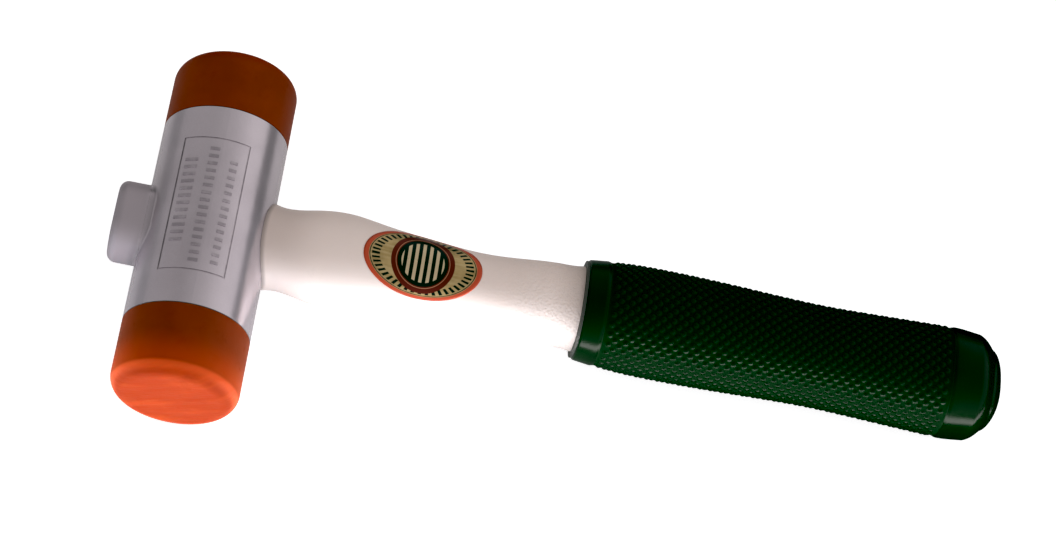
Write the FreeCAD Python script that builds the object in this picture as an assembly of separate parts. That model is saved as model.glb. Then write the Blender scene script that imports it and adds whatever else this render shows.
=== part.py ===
import FreeCAD, Part
import math
import os
from FreeCAD import Placement, Rotation, Vector

# Dead blow mallet with screw-in faces, all lengths in millimetres.
# Origin: the eye centre, where the handle's axis crosses the head's axis.
# +X runs along the handle to the butt, +Y along the head to the upper face, +Z away from the bench.

# Head
HEAD_R = 22.0
BARREL_HALF = 39.2
HEAD_HALF = 64.9
BARREL_EDGE_CHAMFER = 0.25
FACE_RIM_R = 6.0
FACE_GAP = 0.05

# Eye and the boss opposite the handle
BOSS_END_X = -32.2
BOSS_HALF_Y = 14.3
BOSS_HALF_Z = 11.0
BOSS_SHIFT_Y = -1.4
BOSS_CORNER_R = 9.8
BOSS_RIM_R = 3.2
BOSS_ROOT_R = 1.4
EYE_HALF_Y = 10.2
EYE_HALF_Z = 7.4
EYE_CORNER_R = 5.5
BOND_LINE = 0.8
TANG_RECESS = 1.5
TANG_END_X = BOSS_END_X + TANG_RECESS
TANG_INTO_NECK = 4.0

# Raised-bar panel on the barrel, in a thin engraved frame
PANEL_LOW_X = -13.6
PANEL_HIGH_X = 9.2
PANEL_HALF_Y = 26.4
PANEL_LINE = 0.5
PANEL_DEPTH = 0.25
BAR_HEIGHT = 0.25
BAR_WIDTH = 1.1
BAR_GAP = 1.9
# Each column of bars: centre in X, bar length in X, low and high end in Y
BAR_COLUMNS = ((-9.8, 4.2, -15.4, 17.6), (-2.6, 3.4, -23.0, 22.4), (4.7, 2.6, -22.6, 18.2))

# Shot chambers and the threads that hold the faces; "out" is the distance from the eye centre
THREAD_PITCH = 4.0
THREAD_ROOT_R = 14.3
THREAD_CREST_R = 15.9
THREAD_CLEARANCE = 0.18
THREAD_CREST_HALF = 0.5
THREAD_ROOT_HALF = 1.25
THREAD_BITE = 0.4
SPIGOT_END_OUT = 24.8
RIDGE_LOW_OUT = 27.0
RIDGE_HIGH_OUT = 34.6
SOCKET_END_OUT = 24.4
SOCKET_R = THREAD_ROOT_R + THREAD_CLEARANCE
GROOVE_LOW_OUT = 26.0
GROOVE_HIGH_OUT = 39.0
CHAMBER_END_OUT = 16.0
CHAMBER_R = 11.6

# O-ring under each face's shoulder
RING_SECTION_R = 1.08
RING_SEAT_OUT = 37.0
RING_SEAT_R = 17.2
RING_PLAY = 0.25
RING_CENTRE_R = THREAD_ROOT_R + RING_SECTION_R + RING_PLAY
RING_CENTRE_OUT = (RING_SEAT_OUT + BARREL_HALF) / 2

# Shot canister, its pressed lid and the buffer ring on top of it
CANISTER_R = 11.5
CANISTER_WALL = 0.8
CANISTER_FLOOR = 1.0
CANISTER_END_OUT = 45.0
CANISTER_EDGE_R = 0.6
LID_R = CANISTER_R - CANISTER_WALL
LID_LOW_OUT = 42.8
LID_WALL = 1.0
BUFFER_INNER_R = 7.5
BUFFER_END_OUT = 46.5
BUFFER_GAP = 0.1
HOLLOW_R = 12.0
HOLLOW_END_OUT = BUFFER_END_OUT + BUFFER_GAP

# Steel shot
SHOT_R = 2.1
SHOT_PITCH = 4.26
SHOT_LAYERS = 5

# Handle: the moulding's bare part as (X, half-width in Y, half-thickness in Z)
NECK_SECTIONS = (
    (12.0, 15.0, 11.2), (24.0, 15.0, 11.2), (36.0, 16.3, 11.8), (48.0, 17.5, 12.5),
    (60.0, 15.9, 11.9), (74.0, 14.2, 11.1), (87.0, 13.0, 10.7), (98.0, 12.6, 10.7),
    (111.0, 13.6, 11.3), (123.0, 14.6, 12.0), (133.0, 15.5, 12.6),
)
SECTION_EXPONENT = 2.4
SECTION_POINTS = 24
NECK_END_X = 133.0
SADDLE_GAP = 0.05
COLLAR_START_X = 132.2
COLLAR_SECTION = (17.3, 14.2)

# Handle: the seat inside the sleeve and the sleeve's outside, in the same form
SEAT_SECTIONS = ((133.0, 15.5, 12.6), (160.0, 17.0, 13.2), (218.0, 15.6, 12.7), (275.0, 16.6, 13.0))
SLEEVE_SECTIONS = (
    (133.0, 17.8, 14.6), (142.0, 18.9, 15.3), (152.0, 19.6, 15.8), (168.0, 19.7, 15.9),
    (186.0, 19.3, 15.7), (202.0, 18.7, 15.4), (218.0, 18.35, 15.3), (234.0, 18.8, 15.5),
    (252.0, 19.5, 16.0), (267.0, 19.9, 16.3), (275.5, 19.1, 15.8),
)
SLEEVE_CHAMFER_END = (280.2, 15.5, 12.6)
BUTT_DOME = (280.0, 15.0, 12.1)
BUTT_END_X = 285.6

# Core rod in the handle moulding
CORE_R = 4.5
CORE_END_X = 262.0

# Foil label on the neck
LABEL_CENTRE_X = 75.0
LABEL_HALF_X = 21.0
LABEL_HALF_Y = 12.4
LABEL_THICKNESS = 0.15

# How far a cutter runs past the face it cuts, and how far a joined piece runs into its neighbour
OVERSHOOT = 1.0

X_AXIS = Vector(1, 0, 0)
Y_AXIS = Vector(0, 1, 0)
Z_AXIS = Vector(0, 0, 1)


def save(shape, node):
    """Write one sub-part as its own STEP file."""
    shape.exportStep("parts/" + node + ".step")


def outward(shape, side):
    """Turn a shape built along +Z so that +Z points out along the head, to +Y or -Y."""
    turned = shape.copy()
    turned.Placement = Placement(Vector(), Rotation(X_AXIS, -90 * side))
    return turned


def disc(radius, low, high):
    """A solid cylinder about the outward axis."""
    return Part.makeCylinder(radius, high - low, Vector(0, 0, low))


def tube(outer, inner, low, high):
    """A hollow cylinder about the outward axis."""
    return disc(outer, low, high).cut(disc(inner, low, high))


def rounded_bar(low_x, high_x, half_y, half_z, corner_r):
    """A bar along X with four rounded corners."""
    box = Part.makeBox(high_x - low_x, 2 * half_y, 2 * half_z, Vector(low_x, -half_y, -half_z))
    corners = [edge for edge in box.Edges if abs(edge.tangentAt(edge.FirstParameter).x) > 0.9]
    return box.makeFillet(corner_r, corners)


def oval_wire(x, half_y, half_z):
    """A closed superellipse across the handle."""
    points = []
    for step in range(SECTION_POINTS):
        angle = 2 * math.pi * step / SECTION_POINTS
        c = math.cos(angle)
        s = math.sin(angle)
        y = math.copysign(abs(c) ** (2 / SECTION_EXPONENT), c) * half_y
        z = math.copysign(abs(s) ** (2 / SECTION_EXPONENT), s) * half_z
        points.append(Vector(x, y, z))
    curve = Part.BSplineCurve()
    curve.interpolate(Points=points, PeriodicFlag=True)
    return Part.Wire(curve.toShape())


def oval_loft(sections, grow=0.0, straight=False):
    """A solid through oval sections, each grown by the same amount."""
    wires = [oval_wire(x, half_y + grow, half_z + grow) for x, half_y, half_z in sections]
    return Part.makeLoft(wires, True, straight)


def oval_dome(x, half_y, half_z, end_x):
    """Half an ellipsoid that closes the butt."""
    ball = Part.makeSphere(1.0, Vector(), X_AXIS, -90, 90, 360)
    matrix = FreeCAD.Matrix()
    matrix.scale(end_x - x, half_y, half_z)
    stretched = ball.transformGeometry(matrix)
    half_space = Part.makeBox(end_x, 4 * half_y, 4 * half_z, Vector(0, -2 * half_y, -2 * half_z))
    dome = stretched.common(half_space)
    dome.translate(Vector(x, 0, 0))
    return dome


def thread_ridge(low, high, clearance):
    """A helical ridge about the outward axis, in phase with every other ridge of the same pitch."""
    base_r = THREAD_ROOT_R - THREAD_BITE
    crest_r = THREAD_CREST_R + clearance
    slope = (THREAD_ROOT_HALF - THREAD_CREST_HALF) / (THREAD_CREST_R - THREAD_ROOT_R)
    base_half = THREAD_ROOT_HALF + slope * THREAD_BITE + clearance
    crest_half = THREAD_CREST_HALF + clearance
    profile = Part.makePolygon([
        Vector(base_r, 0, -base_half),
        Vector(crest_r, 0, -crest_half),
        Vector(crest_r, 0, crest_half),
        Vector(base_r, 0, base_half),
        Vector(base_r, 0, -base_half),
    ])
    helix = Part.makeHelix(THREAD_PITCH, high - low, THREAD_ROOT_R)
    ridge = Part.Wire(helix.Edges).makePipeShell([profile], True, True)
    ridge.rotate(Vector(), Z_AXIS, 360 * low / THREAD_PITCH)
    ridge.translate(Vector(0, 0, low))
    return ridge


def panel_frame():
    """The thin engraved rectangle on the barrel's upper side."""
    length = PANEL_HIGH_X - PANEL_LOW_X
    outer = Part.makeBox(length, 2 * PANEL_HALF_Y, HEAD_R, Vector(PANEL_LOW_X, -PANEL_HALF_Y, HEAD_R / 2))
    inner = Part.makeBox(
        length - 2 * PANEL_LINE, 2 * (PANEL_HALF_Y - PANEL_LINE), HEAD_R,
        Vector(PANEL_LOW_X + PANEL_LINE, PANEL_LINE - PANEL_HALF_Y, HEAD_R / 2))
    core = Part.makeCylinder(HEAD_R - PANEL_DEPTH, 2 * BARREL_HALF, Vector(0, -BARREL_HALF, 0), Y_AXIS)
    return outer.cut(inner).cut(core)


def panel_bars():
    """Columns of short raised bars inside the engraved frame."""
    skin = Part.makeCylinder(HEAD_R + BAR_HEIGHT, 2 * BARREL_HALF, Vector(0, -BARREL_HALF, 0), Y_AXIS)
    bars = []
    for centre_x, length, low_y, high_y in BAR_COLUMNS:
        count = int((high_y - low_y) / (BAR_WIDTH + BAR_GAP)) + 1
        step = (high_y - low_y - BAR_WIDTH) / (count - 1)
        for index in range(count):
            corner = Vector(centre_x - length / 2, low_y + index * step, HEAD_R / 2)
            bars.append(Part.makeBox(length, BAR_WIDTH, HEAD_R, corner).common(skin))
    return bars


def boss():
    """The stub of the eye that stands out of the barrel opposite the handle."""
    bar = rounded_bar(BOSS_END_X, 0, BOSS_HALF_Y, BOSS_HALF_Z, BOSS_CORNER_R)
    bar.translate(Vector(0, BOSS_SHIFT_Y, 0))
    rim = [edge for edge in bar.Edges if edge.BoundBox.XMax < BOSS_END_X + 0.01]
    return bar.makeFillet(BOSS_RIM_R, rim)


def with_boss_root(body):
    """Round the corner where the boss meets the barrel."""
    root = []
    for edge in body.Edges:
        middle = edge.valueAt((edge.FirstParameter + edge.LastParameter) / 2)
        on_barrel = abs(math.hypot(middle.x, middle.z) - HEAD_R) < 0.01
        on_boss = abs(middle.y - BOSS_SHIFT_Y) < BOSS_HALF_Y + 0.01
        if on_barrel and on_boss and middle.x < -HEAD_R / 2:
            root.append(edge)
    return body.makeFillet(BOSS_ROOT_R, root)


def head_socket(side):
    """Everything that is cut out of one end of the head."""
    cutter = disc(CHAMBER_R, CHAMBER_END_OUT, HEAD_HALF)
    cutter = cutter.fuse(disc(SOCKET_R, SOCKET_END_OUT, HEAD_HALF))
    cutter = cutter.fuse(disc(RING_SEAT_R, RING_SEAT_OUT, HEAD_HALF))
    cutter = cutter.fuse(thread_ridge(GROOVE_LOW_OUT, GROOVE_HIGH_OUT, THREAD_CLEARANCE))
    return outward(cutter, side)


def head_casting():
    barrel = Part.makeCylinder(HEAD_R, 2 * BARREL_HALF, Vector(0, -BARREL_HALF, 0), Y_AXIS)
    barrel = barrel.makeChamfer(BARREL_EDGE_CHAMFER, [e for e in barrel.Edges if e.Closed])
    body = with_boss_root(barrel.fuse(boss()))
    body = body.cut(rounded_bar(BOSS_END_X - OVERSHOOT, HEAD_R + OVERSHOOT, EYE_HALF_Y, EYE_HALF_Z, EYE_CORNER_R))
    body = body.cut(panel_frame())
    body = body.fuse(panel_bars())
    for side in (1, -1):
        body = body.cut(head_socket(side))
    return body.removeSplitter()


def face(side):
    """A striking face: a solid cap, a shoulder and a hollow threaded spigot."""
    shoulder = BARREL_HALF + FACE_GAP
    cap = disc(HEAD_R, shoulder, HEAD_HALF)
    rim = [edge for edge in cap.Edges if edge.Closed and edge.BoundBox.ZMin > HEAD_HALF - 0.01]
    cap = cap.makeFillet(FACE_RIM_R, rim)
    spigot = disc(THREAD_ROOT_R, SPIGOT_END_OUT, shoulder + OVERSHOOT)
    body = cap.fuse(spigot).fuse(thread_ridge(RIDGE_LOW_OUT, RIDGE_HIGH_OUT, 0.0))
    body = body.cut(disc(HOLLOW_R, SPIGOT_END_OUT - OVERSHOOT, HOLLOW_END_OUT))
    return outward(body, side)


def o_ring(side):
    ring = Part.makeTorus(RING_CENTRE_R, RING_SECTION_R, Vector(0, 0, RING_CENTRE_OUT))
    return outward(ring, side)


def canister(side):
    cup = disc(CANISTER_R, CHAMBER_END_OUT, CANISTER_END_OUT)
    foot = [edge for edge in cup.Edges if edge.Closed and edge.BoundBox.ZMax < CHAMBER_END_OUT + 0.01]
    cup = cup.makeFillet(CANISTER_EDGE_R, foot)
    cup = cup.cut(disc(LID_R, CHAMBER_END_OUT + CANISTER_FLOOR, CANISTER_END_OUT + OVERSHOOT))
    return outward(cup, side)


def canister_lid(side):
    """A dished plug, pressed into the canister's mouth with its rim outward."""
    lid = disc(LID_R, LID_LOW_OUT, CANISTER_END_OUT)
    lid = lid.cut(disc(LID_R - LID_WALL, LID_LOW_OUT + LID_WALL, CANISTER_END_OUT + OVERSHOOT))
    return outward(lid, side)


def buffer_ring(side):
    """A soft ring that the face's hollow keeps the canister down with."""
    return outward(tube(CANISTER_R, BUFFER_INNER_R, CANISTER_END_OUT, BUFFER_END_OUT), side)


def shot_layer(shifted):
    """Centres of one close-packed layer of balls that fits in the canister."""
    largest_r = LID_R - SHOT_R
    row_step = SHOT_PITCH * math.sin(math.pi / 3)
    shift_y = row_step / 3 if shifted else 0.0
    shift_x = SHOT_PITCH / 2 if shifted else 0.0
    centres = []
    for row in range(-3, 4):
        for column in range(-4, 5):
            x = (column + row / 2) * SHOT_PITCH + shift_x
            y = row * row_step + shift_y
            if math.hypot(x, y) <= largest_r:
                centres.append((x, y))
    return centres


def shot(side):
    """Loose steel balls, drawn as a close-packed slug half-way along the canister."""
    layer_step = SHOT_PITCH * math.sqrt(2 / 3)
    floor = CHAMBER_END_OUT + CANISTER_FLOOR
    middle = (floor + LID_LOW_OUT) / 2
    low = middle - layer_step * (SHOT_LAYERS - 1) / 2
    balls = []
    for layer in range(SHOT_LAYERS):
        for x, y in shot_layer(layer % 2 == 1):
            balls.append(Part.makeSphere(SHOT_R, Vector(x, y, low + layer * layer_step)))
    return outward(Part.makeCompound(balls), side)


def eye_bond():
    """The adhesive between the eye and the tang."""
    outer = rounded_bar(TANG_END_X, HEAD_R, EYE_HALF_Y, EYE_HALF_Z, EYE_CORNER_R)
    saddle = Part.makeCylinder(HEAD_R, 4 * HEAD_R, Vector(0, -2 * HEAD_R, 0), Y_AXIS)
    stub = rounded_bar(TANG_END_X, 0, EYE_HALF_Y, EYE_HALF_Z, EYE_CORNER_R)
    return outer.common(saddle).fuse(stub).cut(tang()).removeSplitter()


def tang():
    half_y = EYE_HALF_Y - BOND_LINE
    half_z = EYE_HALF_Z - BOND_LINE
    return rounded_bar(TANG_END_X, HEAD_R + TANG_INTO_NECK, half_y, half_z, EYE_CORNER_R - BOND_LINE)


def neck():
    return oval_loft(NECK_SECTIONS)


def seat():
    return oval_loft(SEAT_SECTIONS)


def core_rod():
    return Part.makeCylinder(CORE_R, CORE_END_X - TANG_END_X, Vector(TANG_END_X, 0, 0), X_AXIS)


def collar():
    """The low flange of the moulding that the sleeve stops against."""
    half_y, half_z = COLLAR_SECTION
    return oval_loft(((COLLAR_START_X, half_y, half_z), (NECK_END_X, half_y, half_z)), straight=True)


def handle_moulding():
    saddle = Part.makeCylinder(HEAD_R + SADDLE_GAP, 4 * HEAD_R, Vector(0, -2 * HEAD_R, 0), Y_AXIS)
    body = neck().cut(saddle).fuse([tang(), seat(), collar()])
    return body.cut(core_rod()).removeSplitter()


def grip_sleeve():
    last_x, last_y, last_z = SLEEVE_SECTIONS[-1]
    body = oval_loft(SLEEVE_SECTIONS)
    chamfer = oval_loft(((last_x, last_y, last_z), SLEEVE_CHAMFER_END), straight=True)
    body = body.fuse([chamfer, oval_dome(*BUTT_DOME, BUTT_END_X)])
    return body.cut(seat()).removeSplitter()


def handle_label():
    """A thin foil oval that follows the neck's upper side."""
    circle = Part.Wire(Part.Ellipse(Vector(LABEL_CENTRE_X, 0, 0), LABEL_HALF_X, LABEL_HALF_Y).toShape())
    prism = Part.Face(circle).extrude(Vector(0, 0, HEAD_R))
    return oval_loft(NECK_SECTIONS, LABEL_THICKNESS).cut(neck()).common(prism)


def main():
    os.makedirs("parts", exist_ok=True)
    save(head_casting(), "head_casting")
    for name, side in (("upper", 1), ("lower", -1)):
        save(face(side), name + "_face")
        save(o_ring(side), name + "_o_ring")
        save(canister(side), name + "_shot_canister")
        save(canister_lid(side), name + "_canister_lid")
        save(buffer_ring(side), name + "_buffer_ring")
        save(shot(side), name + "_shot")
    save(eye_bond(), "eye_bond")
    save(handle_moulding(), "handle_moulding")
    save(core_rod(), "handle_core_rod")
    save(grip_sleeve(), "grip_sleeve")
    save(handle_label(), "handle_label")


main()
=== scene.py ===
import math

import bpy
from mathutils import Matrix, Vector


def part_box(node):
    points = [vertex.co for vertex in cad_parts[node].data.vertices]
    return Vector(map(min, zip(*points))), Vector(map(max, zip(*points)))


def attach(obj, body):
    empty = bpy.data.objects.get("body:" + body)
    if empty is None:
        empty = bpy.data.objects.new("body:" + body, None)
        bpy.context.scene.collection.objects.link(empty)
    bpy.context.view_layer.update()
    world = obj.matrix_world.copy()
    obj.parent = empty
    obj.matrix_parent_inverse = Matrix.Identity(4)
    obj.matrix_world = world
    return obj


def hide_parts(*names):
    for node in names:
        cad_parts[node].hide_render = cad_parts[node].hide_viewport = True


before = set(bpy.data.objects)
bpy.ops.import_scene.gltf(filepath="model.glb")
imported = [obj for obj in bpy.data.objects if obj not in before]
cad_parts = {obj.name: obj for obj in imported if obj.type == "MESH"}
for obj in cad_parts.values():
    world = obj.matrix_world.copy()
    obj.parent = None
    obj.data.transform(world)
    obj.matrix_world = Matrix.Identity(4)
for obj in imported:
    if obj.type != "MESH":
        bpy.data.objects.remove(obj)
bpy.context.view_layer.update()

MM = 0.001
ROOT = "head_and_handle"
SIDES = {"upper": 1, "lower": -1}

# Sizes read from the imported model, in metres
HEAD_R = (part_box("upper_face")[1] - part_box("upper_face")[0]).x / 2
HEAD_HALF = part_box("upper_face")[1].y
BARREL_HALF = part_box("head_casting")[1].y
SLEEVE_LOW, SLEEVE_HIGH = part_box("grip_sleeve")
LABEL_LOW, LABEL_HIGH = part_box("handle_label")

# The handle's sections in millimetres, as in the CAD: X, half-width in Y, half-thickness in Z
SECTION_EXPONENT = 2.4
NECK_SECTIONS = (
    (12.0, 15.0, 11.2), (24.0, 15.0, 11.2), (36.0, 16.3, 11.8), (48.0, 17.5, 12.5),
    (60.0, 15.9, 11.9), (74.0, 14.2, 11.1), (87.0, 13.0, 10.7), (98.0, 12.6, 10.7),
    (111.0, 13.6, 11.3), (123.0, 14.6, 12.0), (133.0, 15.5, 12.6),
)
SLEEVE_SECTIONS = (
    (133.0, 17.8, 14.6), (142.0, 18.9, 15.3), (152.0, 19.6, 15.8), (168.0, 19.7, 15.9),
    (186.0, 19.3, 15.7), (202.0, 18.7, 15.4), (218.0, 18.35, 15.3), (234.0, 18.8, 15.5),
    (252.0, 19.5, 16.0), (267.0, 19.9, 16.3), (275.5, 19.1, 15.8),
)
SEAT_SECTIONS = ((133.0, 15.5, 12.6), (160.0, 17.0, 13.2), (218.0, 15.6, 12.7), (275.0, 16.6, 13.0))
SLEEVE_CHAMFER_END = (280.2, 15.5, 12.6)
BUTT_DOME = (280.0, 15.0, 12.1)

# Camera: where it stands, where it looks and how it is rolled
CAMERA_PLACE = Vector((0.01112, -0.49572, 0.88897))
CAMERA_DIRECTION = Vector((0.0992, 0.49168, -0.86511))
CAMERA_ROLL_DEG = 21.24
CAMERA_LENS_MM = 99.55
CAMERA_SENSOR_MM = 36.0

# Colours, linear. A pair is the two tones that a surface drifts between.
PAINT = ((0.49, 0.437, 0.462), (0.57, 0.515, 0.54))
PAINT_FLECK = (0.7, 0.65, 0.68)
PAINT_DIRT = (0.22, 0.185, 0.205)
PAINT_RUB = (0.42, 0.375, 0.4)
BOSS_TONE = (0.43, 0.38, 0.402)
# painted shade for the crease where the stub meets the barrel
CREASE_SHADE = (0.12, 0.1, 0.11)
TURNED_EDGE = (0.08, 0.068, 0.074)
FACE_SIDE = ((0.212, 0.043, 0.016), (0.257, 0.052, 0.019))
FACE_END = ((0.262, 0.029, 0.005), (0.31, 0.039, 0.006))
FACE_MARK = (0.13, 0.014, 0.003)
# painted light on the lower face: a lighter side near its end and a highlight on its rim
FACE_PAINTED_LIGHT = (0.55, 0.08, 0.018)
FACE_RIM_HIGHLIGHT = (0.75, 0.125, 0.04)
HANDLE = ((0.83, 0.705, 0.635), (0.88, 0.765, 0.7))
HANDLE_GRIME = (0.6, 0.5, 0.44)
# painted shade on the moulding: at the barrel seam, beside the head, beside the sleeve and at the collar
HANDLE_SEAM_SHADE = (0.14, 0.11, 0.1)
HANDLE_HEAD_SHADE = (0.45, 0.37, 0.34)
HANDLE_SLEEVE_SHADE = (0.42, 0.34, 0.3)
HANDLE_COLLAR_SHADE = (0.035, 0.038, 0.032)
RUBBER = ((0.0044, 0.016, 0.0037), (0.0055, 0.02, 0.0047))
# painted light: a lighter green for the valleys between the grip's dots, offsetting their shade
RUBBER_VALLEY_PAINTED_LIGHT = (0.0047, 0.021, 0.0042)
GOLD = ((0.3, 0.205, 0.075), (0.52, 0.385, 0.18))
GOLD_BRUSHED = (0.68, 0.55, 0.32)
GOLD_BAR = (0.62, 0.5, 0.32)
INK = (0.006, 0.009, 0.006)
RED = (0.12, 0.012, 0.008)
ORANGE = (0.5, 0.07, 0.025)
DISC_LINE = (0.45, 0.22, 0.12)
CANISTER_STEEL = (0.55, 0.55, 0.57)
SHOT_STEEL = (0.4, 0.4, 0.42)
SEAL = ((0.012, 0.012, 0.012), (0.03, 0.03, 0.03))
RESIN = ((0.22, 0.12, 0.04), (0.34, 0.2, 0.08))
GLASS_FIBRE = ((0.42, 0.38, 0.2), (0.66, 0.63, 0.45))
FLOOR_PALE = (0.7, 0.7, 0.7)
FLOOR_DARK = (0.03, 0.03, 0.03)
KEY_COLOUR = (0.82, 0.9, 1.0)
SHEEN_COLOUR = (1.0, 0.9, 0.93)
ROOM_COLOUR = (1.0, 0.97, 0.985)


# ---------------------------------------------------------------- material helpers

def new_material(name):
    material = bpy.data.materials.new(name)
    material.use_nodes = True
    return material, material.node_tree, material.node_tree.nodes["Principled BSDF"]


def add(tree, kind, values=(), **settings):
    """Add a node, set its properties, and fill its inputs from numbers or from other nodes' sockets."""
    made = tree.nodes.new(kind)
    for key, value in settings.items():
        setattr(made, key, value)
    for key, value in dict(values).items():
        if isinstance(value, bpy.types.NodeSocket):
            tree.links.new(value, made.inputs[key])
        else:
            made.inputs[key].default_value = value
    return made


def math_node(tree, operation, first, second=0.0):
    return add(tree, "ShaderNodeMath", {0: first, 1: second}, operation=operation).outputs[0]


def multiply(tree, first, second):
    return math_node(tree, "MULTIPLY", first, second)


def vector_length(tree, vector):
    return add(tree, "ShaderNodeVectorMath", {0: vector}, operation="LENGTH").outputs["Value"]


def place_of(tree):
    """Position on the piece in metres, the same at every pose."""
    return add(tree, "ShaderNodeTexCoord").outputs["Object"]


def split_of(tree, vector):
    """The vector's X, Y and Z."""
    return add(tree, "ShaderNodeSeparateXYZ", {0: vector}).outputs


def head_radius(tree, place):
    """Distance from the barrel's axis, which runs along Y."""
    x, _, z = split_of(tree, place)
    return vector_length(tree, add(tree, "ShaderNodeCombineXYZ", {0: x, 2: z}).outputs[0])


def noise_at(tree, place, size, detail=3.0, roughness=0.5, stretch=(1.0, 1.0, 1.0)):
    """Noise whose lumps are about size metres across."""
    mapped = add(tree, "ShaderNodeMapping", {"Vector": place, "Scale": stretch}).outputs[0]
    values = {"Vector": mapped, "Scale": 1.0 / size, "Detail": detail, "Roughness": roughness}
    return add(tree, "ShaderNodeTexNoise", values).outputs["Fac"]


def ramp(tree, value, low, high, to_low=0.0, to_high=1.0):
    """Map low..high to to_low..to_high, clamped and smooth."""
    values = {"Value": value, "From Min": low, "From Max": high, "To Min": to_low, "To Max": to_high}
    return add(tree, "ShaderNodeMapRange", values, interpolation_type="SMOOTHSTEP").outputs["Result"]


def spread(tree, noise, to_low=0.0, to_high=1.0):
    """Map the span that most of a noise falls in to to_low..to_high."""
    return ramp(tree, noise, 0.3, 0.7, to_low, to_high)


def band(tree, value, rise, fall, strength=1.0):
    """Strength between two edges and nothing outside them. Each edge is where it starts and ends."""
    return multiply(tree, ramp(tree, value, *rise, 0.0, strength), ramp(tree, value, *fall, 1.0, 0.0))


def blend_colour(tree, factor, first, second):
    """Mix two colours, each a tuple or a socket."""
    mix = add(tree, "ShaderNodeMix", data_type="RGBA")
    for index, value in ((0, factor), (6, first), (7, second)):
        if isinstance(value, bpy.types.NodeSocket):
            tree.links.new(value, mix.inputs[index])
        else:
            mix.inputs[index].default_value = (*value, 1.0) if index else value
    return mix.outputs[2]


def mottle(tree, noise, tones):
    """A colour that drifts between two tones."""
    return blend_colour(tree, spread(tree, noise), *tones)


def bump(tree, height, distance, normal=None):
    """A normal from a height, whose full range is distance metres, on top of another normal."""
    values = {"Height": height, "Distance": distance}
    if normal is not None:
        values["Normal"] = normal
    return add(tree, "ShaderNodeBump", values).outputs["Normal"]


def wire(tree, shader, **sockets):
    """Connect sockets to the shader's inputs, with underscores for spaces."""
    for name, socket in sockets.items():
        tree.links.new(socket, shader.inputs[name.replace("_", " ")])


def settle(shader, **values):
    """Set the shader's own inputs, with underscores for spaces."""
    for name, value in values.items():
        shader.inputs[name.replace("_", " ")].default_value = value


# ---------------------------------------------------------------- materials

def head_paint():
    """Satin silver paint over a light-alloy casting, dirtied in the panel's groove and on its bars."""
    material, tree, shader = new_material("head_paint")
    place = place_of(tree)
    x, y, z = split_of(tree, place)
    radius = head_radius(tree, place)
    fleck = ramp(tree, noise_at(tree, place, 0.0004, detail=2.0), 0.35, 0.75, 0.0, 0.12)
    colour = mottle(tree, noise_at(tree, place, 0.03, detail=4.0), PAINT)
    colour = blend_colour(tree, fleck, colour, PAINT_FLECK)
    # the bars stand proud of the barrel and the groove is cut into it; both are on the upper side only
    on_top = ramp(tree, z, 14 * MM, 15 * MM)
    on_bar = ramp(tree, radius, HEAD_R + 0.03 * MM, HEAD_R + 0.1 * MM)
    in_groove = ramp(tree, radius, HEAD_R - 0.12 * MM, HEAD_R - 0.05 * MM, 1.0, 0.0)
    patchy = ramp(tree, noise_at(tree, place, 0.0035, detail=4.0, roughness=0.6), 0.36, 0.6, 0.35, 1.0)
    dirt = multiply(tree, multiply(tree, math_node(tree, "MAXIMUM", on_bar, in_groove), on_top), patchy)
    colour = blend_colour(tree, multiply(tree, dirt, 0.5), colour, PAINT_DIRT)
    rub = ramp(tree, noise_at(tree, place, 0.009, detail=6.0, roughness=0.7), 0.58, 0.74, 0.0, 0.15)
    colour = blend_colour(tree, rub, colour, PAINT_RUB)
    # the stub of the eye is duller, as cast
    on_boss = ramp(tree, x, -23.5 * MM, -20.5 * MM, 0.75, 0.0)
    colour = blend_colour(tree, on_boss, colour, BOSS_TONE)
    # painted shade lies in the crease where the stub meets the barrel
    off_barrel = ramp(tree, radius, HEAD_R + 0.2 * MM, HEAD_R + 0.4 * MM)
    crease_shade = multiply(tree, ramp(tree, radius, HEAD_R + 0.5 * MM, HEAD_R + 4.0 * MM, 0.3, 0.0), off_barrel)
    colour = blend_colour(tree, crease_shade, colour, CREASE_SHADE)
    # the turned end under each face is dark and dull
    from_middle = math_node(tree, "ABSOLUTE", y)
    on_edge = ramp(tree, from_middle, BARREL_HALF - 0.32 * MM, BARREL_HALF - 0.26 * MM, 0.0, 0.8)
    colour = blend_colour(tree, on_edge, colour, TURNED_EDGE)
    normal = bump(tree, noise_at(tree, place, 0.012, detail=2.0), 0.00015)
    normal = bump(tree, noise_at(tree, place, 0.0016, detail=2.0), 0.000015, normal)
    normal = bump(tree, noise_at(tree, place, 0.0003, detail=2.0), 0.000006, normal)
    satin = spread(tree, noise_at(tree, place, 0.012), 0.2, 0.25)
    rough = math_node(tree, "MAXIMUM", satin, ramp(tree, on_boss, 0.0, 0.75, 0.2, 0.52))
    rough = math_node(tree, "MAXIMUM", rough, on_edge)
    settle(shader, Metallic=0.6)
    wire(tree, shader, Base_Color=colour, Roughness=rough, Normal=normal)
    return material


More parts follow.
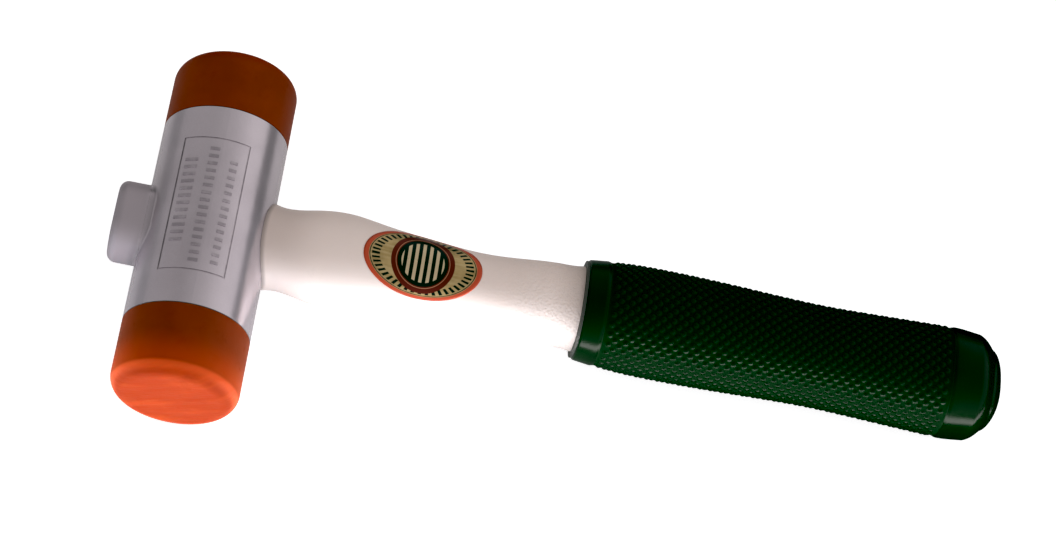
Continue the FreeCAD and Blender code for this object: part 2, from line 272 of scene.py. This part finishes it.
def face_plastic(side):
    """Orange urethane. The flat end carries shallow dents, smudges and rubbed streaks."""
    material, tree, shader = new_material("face_plastic_%s" % ("upper" if side > 0 else "lower"))
    place = place_of(tree)
    out = multiply(tree, split_of(tree, place)["Y"], float(side))
    on_end = ramp(tree, out, HEAD_HALF - 6.0 * MM, HEAD_HALF - 1.0 * MM)
    # streaks run aslant over the end, where work has slid across it
    slant = add(tree, "ShaderNodeMapping", {"Vector": place, "Rotation": (0.0, 0.5, 0.0)}).outputs[0]
    streak = noise_at(tree, slant, 0.011, detail=5.0, roughness=0.55, stretch=(0.35, 1.0, 1.7))
    worn = multiply(tree, ramp(tree, streak, 0.5, 0.66), on_end)
    colour = mottle(tree, noise_at(tree, place, 0.02, detail=4.0), FACE_SIDE)
    colour = blend_colour(tree, on_end, colour, blend_colour(tree, worn, *FACE_END))
    marks = ramp(tree, noise_at(tree, place, 0.007, detail=6.0, roughness=0.65), 0.55, 0.7)
    colour = blend_colour(tree, multiply(tree, marks, 0.15), colour, FACE_MARK)
    if side < 0:
        # on the lower face, painted light: the side is lighter towards the striking end, and its rounded rim
        # carries a painted highlight
        pale = ramp(tree, out, HEAD_HALF - 17.0 * MM, HEAD_HALF - 5.0 * MM, 0.0, 0.65)
        pale = multiply(tree, pale, math_node(tree, "SUBTRACT", 1.0, on_end))
        colour = blend_colour(tree, pale, colour, FACE_PAINTED_LIGHT)
        rim_start = (HEAD_HALF - 4.8 * MM, HEAD_HALF - 3.5 * MM)
        rim_end = (HEAD_HALF - 3.4 * MM, HEAD_HALF - 0.5 * MM)
        colour = blend_colour(tree, band(tree, out, rim_start, rim_end, 0.65), colour, FACE_RIM_HIGHLIGHT)
    normal = bump(tree, multiply(tree, streak, on_end), 0.0009)
    normal = bump(tree, noise_at(tree, place, 0.016, detail=2.0), 0.0004, normal)
    normal = bump(tree, noise_at(tree, place, 0.0008, detail=2.0), 0.000025, normal)
    settle(
        shader, Specular_IOR_Level=0.07, Subsurface_Weight=0.3, Subsurface_Radius=(1.0, 0.25, 0.1),
        Subsurface_Scale=0.004)
    wire(tree, shader, Base_Color=colour, Roughness=ramp(tree, marks, 0.0, 1.0, 0.46, 0.58), Normal=normal)
    return material


def handle_plastic():
    """Off-white moulded plastic, smooth at the head and finely pebbled towards the sleeve."""
    material, tree, shader = new_material("handle_plastic")
    place = place_of(tree)
    along = split_of(tree, place)["X"]
    from_head = head_radius(tree, place)
    cloud = noise_at(tree, place, 0.04, detail=3.0)
    colour = mottle(tree, cloud, HANDLE)
    grime = ramp(tree, noise_at(tree, place, 0.006, detail=6.0, roughness=0.7), 0.55, 0.75, 0.0, 0.12)
    colour = blend_colour(tree, grime, colour, HANDLE_GRIME)
    # painted shade: a dark contact shadow along the seam where the moulding meets the barrel
    seam_shade = ramp(tree, from_head, HEAD_R + 0.2 * MM, HEAD_R + 1.6 * MM, 0.75, 0.0)
    colour = blend_colour(tree, seam_shade, colour, HANDLE_SEAM_SHADE)
    # painted shade: the moulding is greyer beside the head, fading out over about 20 mm
    head_shade = ramp(tree, from_head, HEAD_R + 1.0 * MM, HEAD_R + 21.0 * MM, 0.5, 0.0)
    colour = blend_colour(tree, head_shade, colour, HANDLE_HEAD_SHADE)
    # painted shade: the neck grows greyer over its last 13 mm before the sleeve
    sleeve_shade = ramp(tree, along, 119 * MM, 132.2 * MM, 0.0, 0.45)
    colour = blend_colour(tree, sleeve_shade, colour, HANDLE_SLEEVE_SHADE)
    # painted shade: a dark line at the collar, where a shadow gap lies between the moulding and the sleeve
    collar_shade = ramp(tree, along, 131.9 * MM, 132.1 * MM, 0.0, 0.95)
    colour = blend_colour(tree, collar_shade, colour, HANDLE_COLLAR_SHADE)
    pebbled = ramp(tree, along, 88 * MM, 124 * MM, 0.1, 1.0)
    cells = add(tree, "ShaderNodeTexVoronoi", {"Vector": place, "Scale": 1300.0}, feature="SMOOTH_F1")
    normal = bump(tree, multiply(tree, cells.outputs["Distance"], pebbled), 0.0002)
    normal = bump(tree, noise_at(tree, place, 0.008), 0.00008, normal)
    settle(
        shader, Specular_IOR_Level=0.4, Subsurface_Weight=0.08, Subsurface_Radius=(1.0, 0.8, 0.6),
        Subsurface_Scale=0.003)
    wire(tree, shader, Base_Color=colour, Roughness=spread(tree, cloud, 0.34, 0.42), Normal=normal)
    return material


def grip_rubber():
    """Very dark green rubber. The tops of the dots are polished and the valleys between them are dull."""
    material, tree, shader = new_material("grip_rubber")
    place = place_of(tree)
    sunk = add(tree, "ShaderNodeAttribute", attribute_name=SUNK).outputs["Fac"]
    valley = ramp(tree, sunk, 0.45, 0.95)
    colour = mottle(tree, noise_at(tree, place, 0.015, detail=5.0), RUBBER)
    # painted light: the valleys get a lighter green, which offsets the shade that falls between the dots
    colour = blend_colour(tree, valley, colour, RUBBER_VALLEY_PAINTED_LIGHT)
    polish = spread(tree, noise_at(tree, place, 0.004), 0.18, 0.25)
    rough = math_node(tree, "MAXIMUM", polish, multiply(tree, valley, 0.95))
    normal = bump(tree, noise_at(tree, place, 0.0005, detail=2.0), 0.00002)
    settle(shader, Specular_IOR_Level=0.21)
    wire(tree, shader, Base_Color=colour, Roughness=rough, Normal=normal)
    return material


def label_foil():
    """Printed foil: an orange rim, a gold field and a dark centre, drawn in the label's flat coordinates."""
    material, tree, shader = new_material("label_foil")
    flat = add(tree, "ShaderNodeUVMap", uv_map=FLAT).outputs[0]
    across, up, _ = split_of(tree, flat)
    # 1 on the label's oval edge
    edge = vector_length(tree, flat)
    x_mm = multiply(tree, across, LABEL_HALF_X / MM)
    s_mm = multiply(tree, up, LABEL_HALF_S / MM)
    from_centre = vector_length(tree, add(tree, "ShaderNodeCombineXYZ", {0: x_mm, 1: s_mm}).outputs[0])
    place = place_of(tree)
    sheen = noise_at(tree, place, 0.008, detail=4.0)
    brushed = noise_at(tree, place, 0.002, detail=2.0, stretch=(0.1, 2.0, 2.0))
    colour = mottle(tree, sheen, GOLD)
    colour = blend_colour(tree, ramp(tree, brushed, 0.35, 0.7, 0.0, 0.4), colour, GOLD_BRUSHED)
    # a ring of fine dark ticks inside the rim stands for small print
    wave = math_node(tree, "SINE", multiply(tree, math_node(tree, "ARCTAN2", up, across), LABEL_TICKS))
    ticks = multiply(tree, band(tree, edge, (0.72, 0.735), (0.855, 0.87)), ramp(tree, wave, -0.1, 0.15))
    colour = blend_colour(tree, ticks, colour, INK)
    colour = blend_colour(tree, ramp(tree, edge, 0.905, 0.92), colour, ORANGE)
    colour = blend_colour(tree, band(tree, edge, (0.885, 0.89), (0.9, 0.905)), colour, INK)
    # the disc in the middle: red, with a light line and a dark core
    colour = blend_colour(tree, ramp(tree, from_centre, DISC_R, DISC_R + 0.15, 1.0, 0.0), colour, RED)
    light_line = band(tree, from_centre, (DISC_R - 1.9, DISC_R - 1.8), (DISC_R - 1.65, DISC_R - 1.55))
    colour = blend_colour(tree, light_line, colour, DISC_LINE)
    core = ramp(tree, from_centre, DISC_R - 2.3, DISC_R - 2.15, 1.0, 0.0)
    colour = blend_colour(tree, core, colour, INK)
    # plain gold bars inside the core, across the handle
    stripe = math_node(tree, "COSINE", multiply(tree, x_mm, 2 * math.pi / BAR_PITCH))
    bars = multiply(tree, ramp(tree, stripe, 0.0, 0.2), ramp(tree, from_centre, 7.5, 7.7, 1.0, 0.0))
    colour = blend_colour(tree, bars, colour, GOLD_BAR)
    metal = ramp(tree, edge, 0.905, 0.92, 0.75, 0.2)
    settle(shader, Coat_Weight=0.35, Coat_Roughness=0.2)
    wire(tree, shader, Base_Color=colour, Metallic=metal, Roughness=spread(tree, sheen, 0.3, 0.42))
    return material


def steel(name, colour, turned):
    """Drawn steel with faint lines round the head's axis, or tumbled steel with none."""
    material, tree, shader = new_material(name)
    place = place_of(tree)
    if turned:
        lines = noise_at(tree, place, 0.004, detail=4.0, stretch=(1.0, 30.0, 1.0))
    else:
        lines = noise_at(tree, place, 0.0008, detail=4.0)
    darker = tuple(channel * 0.72 for channel in colour)
    settle(shader, Metallic=1.0)
    wire(
        tree, shader, Base_Color=mottle(tree, lines, (darker, colour)),
        Roughness=spread(tree, lines, 0.26, 0.4), Normal=bump(tree, lines, 0.00002))
    return material


def seal_rubber():
    """Black rubber of the O-rings and the buffer rings, with a little dust."""
    material, tree, shader = new_material("seal_rubber")
    dust = noise_at(tree, place_of(tree), 0.002, detail=5.0)
    wire(
        tree, shader, Base_Color=blend_colour(tree, ramp(tree, dust, 0.4, 0.8), *SEAL),
        Roughness=spread(tree, dust, 0.5, 0.65), Normal=bump(tree, dust, 0.00003))
    return material


def bond_resin():
    """Amber resin round the tang."""
    material, tree, shader = new_material("bond_resin")
    swirl = noise_at(tree, place_of(tree), 0.005, detail=3.0)
    wire(
        tree, shader, Base_Color=mottle(tree, swirl, RESIN),
        Roughness=spread(tree, swirl, 0.2, 0.35), Normal=bump(tree, swirl, 0.0002))
    return material


def core_glass_fibre():
    """Pultruded rod: a pale resin with long fibres, seen where it is cut."""
    material, tree, shader = new_material("core_glass_fibre")
    fibres = noise_at(tree, place_of(tree), 0.0005, detail=3.0, stretch=(0.05, 1.0, 1.0))
    wire(
        tree, shader, Base_Color=blend_colour(tree, ramp(tree, fibres, 0.35, 0.65), *GLASS_FIBRE),
        Roughness=spread(tree, fibres, 0.45, 0.6), Normal=bump(tree, fibres, 0.00004))
    return material


def give(material, *nodes):
    """Put a material on whole CAD nodes."""
    for name in nodes:
        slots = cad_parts[name].data.materials
        slots.clear()
        slots.append(material)


# ---------------------------------------------------------------- handle shapes

GIRTH_STEPS = 4000


def smooth_value(x, table, column):
    """A smooth curve through one column of a table of sections, by cubic Hermite spans."""
    last = len(table) - 1
    index = 0
    while index < last - 1 and x > table[index + 1][0]:
        index += 1

    def slope(i):
        low = table[max(i - 1, 0)]
        high = table[min(i + 1, last)]
        return (high[column] - low[column]) / (high[0] - low[0])

    start = table[index]
    end = table[index + 1]
    span = end[0] - start[0]
    t = (x - start[0]) / span
    hold = 2 * t ** 3 - 3 * t ** 2 + 1
    leave = t ** 3 - 2 * t ** 2 + t
    arrive = t ** 3 - t ** 2
    return (hold * start[column] + (1 - hold) * end[column]
            + span * (leave * slope(index) + arrive * slope(index + 1)))


def oval_point(angle, half_y, half_z):
    """A point on the superellipse; the angle runs from +Z towards +Y."""
    s = math.sin(angle)
    c = math.cos(angle)
    y = math.copysign(abs(s) ** (2 / SECTION_EXPONENT), s) * half_y
    z = math.copysign(abs(c) ** (2 / SECTION_EXPONENT), c) * half_z
    return y, z


def oval_vertex(x, angle, half_y, half_z):
    """A vertex in metres on the oval section at X, from sizes in millimetres."""
    y, z = oval_point(angle, half_y, half_z)
    return x * MM, y * MM, z * MM


def even_angles(count, half_y, half_z):
    """Angles that divide the oval's girth into equal lengths, from +Z round through +Y, and the girth."""
    lengths = [0.0]
    last = oval_point(0.0, half_y, half_z)
    for step in range(1, GIRTH_STEPS + 1):
        here = oval_point(2 * math.pi * step / GIRTH_STEPS, half_y, half_z)
        lengths.append(lengths[-1] + math.dist(last, here))
        last = here
    girth = lengths[-1]
    angles = []
    step = 0
    for index in range(count):
        while lengths[step + 1] < girth * index / count:
            step += 1
        share = (girth * index / count - lengths[step]) / (lengths[step + 1] - lengths[step])
        angles.append(2 * math.pi * (step + share) / GIRTH_STEPS)
    return angles, girth


def mesh_object(name, vertices, faces, material, smooth=True):
    mesh = bpy.data.meshes.new(name)
    mesh.from_pydata(vertices, [], faces)
    mesh.update()
    mesh.polygons.foreach_set("use_smooth", [smooth] * len(mesh.polygons))
    mesh.materials.append(material)
    made = bpy.data.objects.new(name, mesh)
    bpy.context.scene.collection.objects.link(made)
    return made


def ring_faces(rings, around):
    """Quads between rings of points, closed round the girth."""
    faces = []
    for ring in range(rings - 1):
        low = ring * around
        high = low + around
        for index in range(around):
            follow = (index + 1) % around
            faces.append((low + index, high + index, high + follow, low + follow))
    return faces


# ---------------------------------------------------------------- grip sleeve, in millimetres

DOT_PITCH = 3.85
DOT_ROWS = 60
DOT_R = 1.2
DOT_HEIGHT = 0.5
DOT_ROUNDNESS = 1.3
DOT_STEPS_AROUND = 6
DOT_STEPS_ALONG = 11
TEXTURE_LOW_X = 141.2
TEXTURE_COLUMNS = 32
TEXTURE_FADE = 1.5
SLEEVE_MEAN = (19.2, 15.7)
FRONT_RIM_R = 0.7
FRONT_RIM_STEPS = 5
SEAT_GAP = 0.04
SEAT_STEP = 6.0
SHOULDER_STEPS = 8
SHOULDER_BULGE = 0.5
SHOULDER_CLEARANCE = 0.1
BUTT_STEP_RUN = 0.1
BUTT_STEP_LIP = 0.25
DOME_STEPS = 16
# the mesh attribute that holds how deep a point lies: 0 on the dots, 1 between them
SUNK = "sunk"


def inside_stations():
    """Sections of the hollow that fits over the handle, from its blind end to the front."""
    front = SEAT_SECTIONS[0][0]
    end = SEAT_SECTIONS[-1][0]
    count = round((end - front) / SEAT_STEP)
    stations = []
    for step in range(count + 1):
        x = end + (front - end) * step / count
        half_y, half_z = (smooth_value(x, SEAT_SECTIONS, column) + SEAT_GAP for column in (1, 2))
        stations.append((x, half_y, half_z))
    return stations


def outside_stations():
    """Sections of the outside, level with the tops of the dots: the rounded front rim, then the body."""
    front = SLEEVE_SECTIONS[0][0]
    insets = []
    for step in range(FRONT_RIM_STEPS):
        angle = math.pi / 2 * step / FRONT_RIM_STEPS
        insets.append((front + FRONT_RIM_R * (1 - math.cos(angle)), FRONT_RIM_R * (1 - math.sin(angle))))
    x = front + FRONT_RIM_R
    while x < SLEEVE_SECTIONS[-1][0] - SHOULDER_CLEARANCE:
        insets.append((x, 0.0))
        x += DOT_PITCH / DOT_STEPS_ALONG
    return [(x, smooth_value(x, SLEEVE_SECTIONS, 1) - inset, smooth_value(x, SLEEVE_SECTIONS, 2) - inset)
            for x, inset in insets]


def butt_stations():
    """Sections of the rounded shoulder, the chamfer, the small step and the dome."""
    shoulder_x, shoulder_y, shoulder_z = SLEEVE_SECTIONS[-1]
    chamfer_x, chamfer_y, chamfer_z = SLEEVE_CHAMFER_END
    dome_x, dome_y, dome_z = BUTT_DOME
    stations = []
    for step in range(SHOULDER_STEPS + 1):
        t = step / SHOULDER_STEPS
        bulge = SHOULDER_BULGE * math.sin(math.pi * t)
        stations.append((
            shoulder_x + (chamfer_x - shoulder_x) * t,
            shoulder_y + (chamfer_y - shoulder_y) * t + bulge,
            shoulder_z + (chamfer_z - shoulder_z) * t + bulge))
    stations.append((chamfer_x + BUTT_STEP_RUN, dome_y + BUTT_STEP_LIP, dome_z + BUTT_STEP_LIP))
    dome_length = SLEEVE_HIGH.x / MM - dome_x
    for step in range(1, DOME_STEPS):
        angle = math.pi / 2 * step / DOME_STEPS
        shrink = math.cos(angle)
        stations.append((dome_x + dome_length * math.sin(angle), dome_y * shrink, dome_z * shrink))
    return stations


def dot_height(x, index, row_step):
    """Height of the nearest dot at this place. Every second row is shifted by half a pitch."""
    row = round(index / DOT_STEPS_AROUND)
    tallest = 0.0
    for near in (row - 1, row, row + 1):
        shift = 0.5 if near % 2 else 0.0
        column = round((x - TEXTURE_LOW_X) / DOT_PITCH - 0.5 - shift)
        column = max(0, min(TEXTURE_COLUMNS - 1 - near % 2, column))
        centre = TEXTURE_LOW_X + (column + 0.5 + shift) * DOT_PITCH
        reach = math.hypot(x - centre, (index / DOT_STEPS_AROUND - near) * row_step) / DOT_R
        if reach < 1.0:
            tallest = max(tallest, DOT_HEIGHT * (1 - reach ** 2) ** DOT_ROUNDNESS)
    return tallest


def texture_depth(x, index, row_step):
    """How far the skin stands off its section: level with it on top of each dot, sunk (negative) between."""
    texture_high = TEXTURE_LOW_X + DOT_PITCH * TEXTURE_COLUMNS
    into = min(x - TEXTURE_LOW_X, texture_high - x) + TEXTURE_FADE
    if into <= 0.0:
        return 0.0
    fade = min(1.0, into / TEXTURE_FADE)
    return min(0.0, dot_height(x, index, row_step) - DOT_HEIGHT * fade)


def grip_sleeve(material):
    """The sleeve as one closed skin: hollow, front rim, dotted body, chamfered shoulder and domed butt."""
    around = DOT_ROWS * DOT_STEPS_AROUND
    angles, girth = even_angles(around, *SLEEVE_MEAN)
    row_step = girth / DOT_ROWS
    inside = inside_stations()
    rings = [(section, False) for section in inside]
    rings += [(section, True) for section in outside_stations()]
    rings += [(section, False) for section in butt_stations()]
    vertices = []
    sunk = []
    for (x, half_y, half_z), dotted in rings:
        for index, angle in enumerate(angles):
            depth = texture_depth(x, index, row_step) if dotted else 0.0
            vertices.append(oval_vertex(x, angle, half_y + depth, half_z + depth))
            sunk.append(-depth / DOT_HEIGHT)
    last = (len(rings) - 1) * around
    blind_end = len(vertices)
    tip = blind_end + 1
    vertices += [(inside[0][0] * MM, 0.0, 0.0), (SLEEVE_HIGH.x, 0.0, 0.0)]
    sunk += [0.0, 0.0]
    faces = ring_faces(len(rings), around)
    for index in range(around):
        follow = (index + 1) % around
        faces.append((index, follow, blind_end))
        faces.append((last + follow, last + index, tip))
    piece = mesh_object("grip_skin", vertices, faces, material)
    layer = piece.data.attributes.new(SUNK, "FLOAT", "POINT")
    layer.data.foreach_set("value", sunk)
    return piece


# ---------------------------------------------------------------- label

LABEL_HALF_X = (LABEL_HIGH.x - LABEL_LOW.x) / 2
LABEL_CENTRE_X = (LABEL_HIGH.x + LABEL_LOW.x) / 2
LABEL_HALF_S = 13.4 * MM
LABEL_RINGS = 30
LABEL_SPOKES = 144
# millimetres above the neck: the printed side and the side laid on it
LABEL_TOP = 0.14
LABEL_LIFT = 0.01
# the printing: ticks round the rim, the middle disc's radius and its bars' pitch in millimetres
LABEL_TICKS = 44.0
DISC_R = 11.2
BAR_PITCH = 2.5
# radians per step when an arc is measured round the neck
ARC_STEP = 0.005
# the UV layer that holds the label's flat coordinates, 1 on its oval edge
FLAT = "flat"


def girth_angle(x_mm, arc_mm):
    """The section angle that lies arc_mm round the neck's girth from the +Z side."""
    half_y = smooth_value(x_mm, NECK_SECTIONS, 1)
    half_z = smooth_value(x_mm, NECK_SECTIONS, 2)
    travelled = 0.0
    angle = 0.0
    here = oval_point(0.0, half_y, half_z)
    while travelled < abs(arc_mm):
        angle += ARC_STEP
        there = oval_point(angle, half_y, half_z)
        travelled += math.dist(here, there)
        here = there
    return math.copysign(angle, arc_mm)


def label_places():
    """The label's grid as (X, section angle, flat X, flat Y), from the middle out in rings."""
    places = [(LABEL_CENTRE_X / MM, 0.0, 0.0, 0.0)]
    for ring in range(1, LABEL_RINGS + 1):
        for spoke in range(LABEL_SPOKES):
            turn = 2 * math.pi * spoke / LABEL_SPOKES
            across = math.cos(turn) * ring / LABEL_RINGS
            up = math.sin(turn) * ring / LABEL_RINGS
            x = (LABEL_CENTRE_X + across * LABEL_HALF_X) / MM
            places.append((x, girth_angle(x, up * LABEL_HALF_S / MM), across, up))
    return places


def disc_faces(start, flip):
    """Faces of one polar grid of the label, its middle vertex at start."""
    faces = []
    for spoke in range(LABEL_SPOKES):
        follow = (spoke + 1) % LABEL_SPOKES
        faces.append((start, start + 1 + follow, start + 1 + spoke))
        for ring in range(LABEL_RINGS - 1):
            low = start + 1 + ring * LABEL_SPOKES
            high = low + LABEL_SPOKES
            faces.append((low + spoke, low + follow, high + follow, high + spoke))
    return [face[::-1] for face in faces] if flip else faces


def label(material):
    """A thin foil oval laid on the neck, with flat coordinates for its printing."""
    places = label_places()
    vertices = []
    for lift in (LABEL_TOP, LABEL_LIFT):
        for x, angle, _, _ in places:
            half_y = smooth_value(x, NECK_SECTIONS, 1) + lift
            half_z = smooth_value(x, NECK_SECTIONS, 2) + lift
            vertices.append(oval_vertex(x, angle, half_y, half_z))
    under = len(places)
    faces = disc_faces(0, True) + disc_faces(under, False)
    rim = 1 + (LABEL_RINGS - 1) * LABEL_SPOKES
    for spoke in range(LABEL_SPOKES):
        follow = (spoke + 1) % LABEL_SPOKES
        faces.append((rim + follow, rim + spoke, under + rim + spoke, under + rim + follow))
    piece = mesh_object("label_foil", vertices, faces, material)
    layer = piece.data.uv_layers.new(name=FLAT)
    for loop in piece.data.loops:
        layer.data[loop.index].uv = places[loop.vertex_index % under][2:]
    return piece


# ---------------------------------------------------------------- stage, in metres

# the floor touches the barrel under the eye and the sleeve where it is thickest
SLEEVE_REST_X = 267 * MM
FLOOR_SLOPE = (SLEEVE_LOW.z + HEAD_R) / SLEEVE_REST_X
FLOOR_HALF = 4.0
FLOOR_DROP = 0.00005
FLOOR_GLOW = 0.78
FLOOR_MIRROR_GLOW = 0.2
FRONT_BOX_PLACE = (0.15, -0.9, 0.1)
STRIP_X = 0.15
SHEEN_X = 0.45
STRIPS_Y = -0.28


def floor_height(x):
    """The floor's height at X: it is tilted so that the barrel and the butt both rest on it."""
    return -HEAD_R + FLOOR_SLOPE * x


def floor():
    """A large pale floor. What it shows to the camera and to mirrored rays is a glow of its own."""
    corners = ((-1, -1), (1, -1), (1, 1), (-1, 1))
    vertices = [
        (x * FLOOR_HALF, y * FLOOR_HALF, floor_height(x * FLOOR_HALF) - FLOOR_DROP) for x, y in corners]
    material, tree, shader = new_material("floor")
    settle(shader, Roughness=0.8, Specular_IOR_Level=0.1, Emission_Color=(1.0, 1.0, 1.0, 1.0))
    rays = add(tree, "ShaderNodeLightPath").outputs
    # mirrored rays see it bright under the head and neck, darker beyond the boss and dark from the grip on
    along = split_of(tree, place_of(tree))["X"]
    away = math_node(tree, "MAXIMUM", ramp(tree, along, 0.09, 0.2), ramp(tree, along, -0.12, -0.03, 0.6, 0.0))
    mirrored_away = multiply(tree, rays["Is Glossy Ray"], away)
    mirrored_near = math_node(tree, "SUBTRACT", rays["Is Glossy Ray"], mirrored_away)
    glow = math_node(
        tree, "MAXIMUM", multiply(tree, rays["Is Camera Ray"], FLOOR_GLOW),
        multiply(tree, mirrored_near, FLOOR_MIRROR_GLOW))
    pale = blend_colour(tree, mirrored_away, FLOOR_PALE, FLOOR_DARK)
    wire(tree, shader, Base_Color=pale, Emission_Strength=glow)
    mesh_object("floor", vertices, [(0, 1, 2, 3)], material, smooth=False)


def area_light(name, place, turn, size, power, colour=KEY_COLOUR):
    """A rectangular lamp, unseen by the camera. It shines along its own -Z; turn is its Euler rotation."""
    data = bpy.data.lights.new(name, "AREA")
    data.shape = "RECTANGLE"
    data.size, data.size_y = size
    data.energy = power
    data.color = colour
    made = bpy.data.objects.new(name, data)
    made.location = place
    made.rotation_euler = turn
    made.visible_camera = False
    bpy.context.scene.collection.objects.link(made)
    return made


def lamps():
    """A low box in front, a glowing strip of floor before the mallet, and a strip that only gives a sheen."""
    box = area_light("front_box", FRONT_BOX_PLACE, (math.pi / 2, 0.0, 0.0), (1.2, 0.24), 3.4)
    box.visible_glossy = False
    face_up = (math.pi, -math.atan(FLOOR_SLOPE), 0.0)
    strip_place = (STRIP_X, STRIPS_Y, floor_height(STRIP_X) + 0.002)
    strip = area_light("table_strip", strip_place, face_up, (0.8, 0.46), 6.4)
    strip.visible_glossy = False
    sheen_place = (SHEEN_X, STRIPS_Y, floor_height(SHEEN_X) + 0.003)
    sheen = area_light("front_sheen", sheen_place, face_up, (0.66, 0.44), 7.0, SHEEN_COLOUR)
    sheen.visible_diffuse = False


def room():
    """A soft room: brighter to the right and in front, dark low down on the right and low behind."""
    world = bpy.data.worlds.new("room")
    world.use_nodes = True
    bpy.context.scene.world = world
    tree = world.node_tree
    x, y, z = split_of(tree, add(tree, "ShaderNodeTexCoord").outputs["Generated"])
    right_dark = multiply(tree, ramp(tree, z, 0.1, 0.22, 0.98, 0.0), ramp(tree, x, 0.2, 0.5))
    back_dark = multiply(tree, ramp(tree, z, 0.2, 0.42, 0.7, 0.0), ramp(tree, y, 0.5, 0.85))
    overhead = ramp(tree, z, 0.55, 0.9, 1.0, 0.76)
    front = ramp(tree, y, -0.7, 0.1, 1.25, 1.0)
    level = ramp(tree, x, -0.6, 0.75, 0.5, 0.98)
    for dark in (right_dark, back_dark):
        level = multiply(tree, level, math_node(tree, "SUBTRACT", 1.0, dark))
    level = multiply(tree, multiply(tree, level, overhead), front)
    background = tree.nodes["Background"]
    background.inputs["Color"].default_value = (*ROOM_COLOUR, 1.0)
    tree.links.new(level, background.inputs["Strength"])


def grade():
    """A plain display look with slightly deeper blacks."""
    view = bpy.context.scene.view_settings
    view.view_transform = "Standard"
    view.use_curve_mapping = True
    view.curve_mapping.black_level = (0.025, 0.015, 0.019)
    view.curve_mapping.update()
    view.gamma = 0.92


def camera():
    data = bpy.data.cameras.new("camera")
    data.lens = CAMERA_LENS_MM
    data.sensor_width = CAMERA_SENSOR_MM
    data.clip_start = 0.01
    made = bpy.data.objects.new("camera", data)
    aim = CAMERA_DIRECTION.to_track_quat("-Z", "Y").to_matrix().to_4x4()
    roll = Matrix.Rotation(math.radians(CAMERA_ROLL_DEG), 4, "Z")
    made.matrix_world = Matrix.Translation(CAMERA_PLACE) @ aim @ roll
    bpy.context.scene.collection.objects.link(made)
    bpy.context.scene.camera = made


# ---------------------------------------------------------------- assembly

def main():
    camera()
    give(head_paint(), "head_casting")
    for name, side in SIDES.items():
        give(face_plastic(side), name + "_face")
    give(seal_rubber(), *[name + part for name in SIDES for part in ("_o_ring", "_buffer_ring")])
    drawn = steel("canister_steel", CANISTER_STEEL, True)
    give(drawn, *[name + part for name in SIDES for part in ("_shot_canister", "_canister_lid")])
    give(steel("shot_steel", SHOT_STEEL, False), *[name + "_shot" for name in SIDES])
    give(bond_resin(), "eye_bond")
    give(core_glass_fibre(), "handle_core_rod")
    give(handle_plastic(), "handle_moulding")

    sleeve = grip_sleeve(grip_rubber())
    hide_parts("grip_sleeve")
    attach(sleeve, ROOT)

    foil = label(label_foil())
    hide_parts("handle_label")
    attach(foil, ROOT)

    floor()
    lamps()
    room()
    grade()


main()
